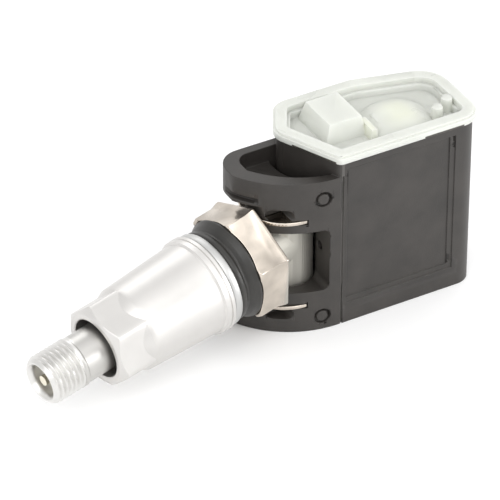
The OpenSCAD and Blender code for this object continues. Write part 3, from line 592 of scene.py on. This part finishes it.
def sleevePiece():
    # from the rear round the flange with its groove, along skirt and hexagon, and back through the recess
    s = sleeve
    rear, front, rim, skirtEnd = s["rear"], s["front"], s["flange"], s["rear"] + s["flangeLength"]
    corners = [(rear, s["bore"]), (rear, rim - s["flangeEdge"]), (rear + s["flangeEdge"], rim),
               (rear + s["grooveFrom"], rim),
               (rear + s["grooveFrom"] + s["grooveSlope"], rim - s["groove"]),
               (rear + s["grooveTo"] - s["grooveSlope"], rim - s["groove"]),
               (rear + s["grooveTo"], rim), (skirtEnd - s["flangeFall"], rim - s["flangeDrop"]),
               (skirtEnd - s["fillet"], s["skirtRear"] + s["fillet"]), (skirtEnd, s["skirtRear"]),
               (hexFrom, s["skirtFront"]), (front - s["faceStep"], s["face"]),
               (front, s["recess"] + s["recessEdge"]), (front - s["recessEdge"], s["recess"]),
               (front - s["recessLength"], s["recess"]), (front - s["recessLength"], s["bore"])]
    turnedPiece("SleeveNut", profile(corners, sleeveSteps), 360, sleeveSatin, node="sleeve_nut", body="nut",
                shape=sleeveShape, phase=math.radians(s["turn"]))


# both rim edges are rounded by two chamfers that start edge mm in and end edge mm along
washer = {"rear": 13.05, "thick": 1.3, "radius": 7.57, "bore": 5.05, "edge": 0.25, "edgeMid": 0.07,
          "edgeDrop": 0.08}


def washerSteps(p, q, length):
    # two steps or more, each under 0.6 mm
    return max(2, int(length / 0.6) + 1)


def washerPiece():
    w = washer
    rear, front, radius = w["rear"], w["rear"] + w["thick"], w["radius"]
    corners = [(rear, w["bore"]), (rear, radius - w["edge"]), (rear + w["edgeMid"], radius - w["edgeDrop"]),
               (rear + w["edge"], radius), (front - w["edge"], radius),
               (front - w["edgeMid"], radius - w["edgeDrop"]), (front, radius - w["edge"]),
               (front, w["bore"])]
    turnedPiece("LooseWasher", profile(corners, washerSteps), 160, washerGrey, node="washer", body="washer")


# rubber lying in the countersunk mouth as a cone, then a waist, and the front lip
grommet = {"bore": 5.0, "cone": [(7.3, 5.05), (9.72, 8.04), (9.98, 8.0)],
           "waist": [(10.7, 7.5), (11.25, 6.85), (11.6, 6.85), (11.95, 7.28)],
           "lip": [(12.15, 7.35), (12.6, 7.35), (12.85, 7.2), (13.0, 6.85)], "step": 0.15, "soft": 0.12}


def grommetPiece():
    g = grommet
    outside = g["cone"] + g["waist"] + g["lip"]
    corners = [(outside[0][0], g["bore"])] + outside + [(outside[-1][0], g["bore"])]
    turnedPiece("RubberGrommet", softProfile(corners, g["step"], g["soft"]), 160, rubber, node="grommet",
                body="valve")


stemPiece()
sleevePiece()
washerPiece()
grommetPiece()
print("valve pieces made")


# studio: how much light floor and sky throw, the floor's reach and drop in mm, and the lamps' target,
# places and sizes in metres and their power in watts

studio = {"floor": 0.88, "sky": 0.86, "reach": 6000, "drop": 0.02, "target": (0.0, 0.0, 0.012)}
lamps = {
    "key": {"place": (-0.12, -0.50, 0.60), "size": (0.6, 0.6), "power": 1.7},
    "left": {"place": (-0.42, -0.22, 0.30), "size": (0.3, 0.3), "power": 0.55},
    "top": {"place": (0.29, -0.12, 0.62), "size": (0.5, 0.5), "power": 0.25},
    "side": {"place": (0.30, -0.28, 0.12), "size": (0.15, 0.2), "power": 0.6},
    "rear": {"place": (0.10, 0.45, 0.40), "size": (0.3, 0.3), "power": 0.35},
}


def floorPlane():
    # a plain square just under the object's foot; it looks white, but throws a little less light
    paint = Paint("pale floor", Roughness=0.9, Specular_IOR_Level=0.1)
    material = paint.feed(Base_Color=paint.mix(paint.seen(), (studio["floor"],) * 3, (1, 1, 1)))
    far, low = studio["reach"] * mm, -studio["drop"] * mm
    mesh = bpy.data.meshes.new("Floor")
    mesh.from_pydata([(-far, -far, low), (far, -far, low), (far, far, low), (-far, far, low)], [],
                     [(0, 1, 2, 3)])
    mesh.materials.append(material)
    floor = bpy.data.objects.new("Floor", mesh)
    bpy.context.scene.collection.objects.link(floor)


def whiteWorld():
    # a sky that looks white, but throws a little less light
    made = bpy.data.worlds.new("Studio")
    made.use_nodes = True
    bpy.context.scene.world = made
    nodes = NodeTree(made.node_tree)
    back = nodes.tree.nodes["Background"]
    nodes.join(back.inputs["Color"], (1, 1, 1, 1))
    nodes.join(back.inputs["Strength"], nodes.seen() * (1 - studio["sky"]) + studio["sky"])


def lamp(name, place, size, power):
    data = bpy.data.lights.new(name, "AREA")
    data.shape = "RECTANGLE"
    data.size, data.size_y = size
    data.energy = power
    made = bpy.data.objects.new(name, data)
    made.location = place
    made.rotation_euler = (Vector(studio["target"]) - Vector(place)).to_track_quat("-Z", "Y").to_euler()
    bpy.context.scene.collection.objects.link(made)


# fitted to the photo: angles in degrees, focal length in px, distance of the near lower end of the box's
# seam from the camera, that corner's place, and the pixel where the photo shows it
fit = {"azimuth": -29.2, "elevation": 36.0, "focal": 3950.0, "depth": 594.0, "corner": (6.75, -7.7, 0.0),
       "pixel": (340.7, 323.5), "picture": 500, "sensor": 36}


def camera():
    # the camera stands depth back from the corner, shifted so that the corner falls on its pixel
    a, e = math.radians(fit["azimuth"]), math.radians(fit["elevation"])
    right = Vector((math.cos(a), math.sin(a), 0))
    up = Vector((-math.sin(a) * math.sin(e), math.cos(a) * math.sin(e), math.cos(e)))
    back = Vector((math.sin(a) * math.cos(e), -math.cos(a) * math.cos(e), math.sin(e)))
    across, down = [(pixel - fit["picture"] / 2) * fit["depth"] / fit["focal"] for pixel in fit["pixel"]]
    place = Vector(fit["corner"]) + back * fit["depth"] - right * across + up * down
    data = bpy.data.cameras.new("Camera")
    data.sensor_width = fit["sensor"]
    data.lens = fit["focal"] / fit["picture"] * fit["sensor"]
    data.clip_start, data.clip_end = 0.01, 50
    made = bpy.data.objects.new("Camera", data)
    made.matrix_world = Matrix.Translation(place * mm) @ Matrix((right, up, back)).transposed().to_4x4()
    bpy.context.scene.collection.objects.link(made)
    bpy.context.scene.camera = made


floorPlane()
whiteWorld()
for lampName, settings in lamps.items():
    lamp(lampName, **settings)
camera()
bpy.context.scene.view_settings.view_transform = "Standard"
print("studio made")
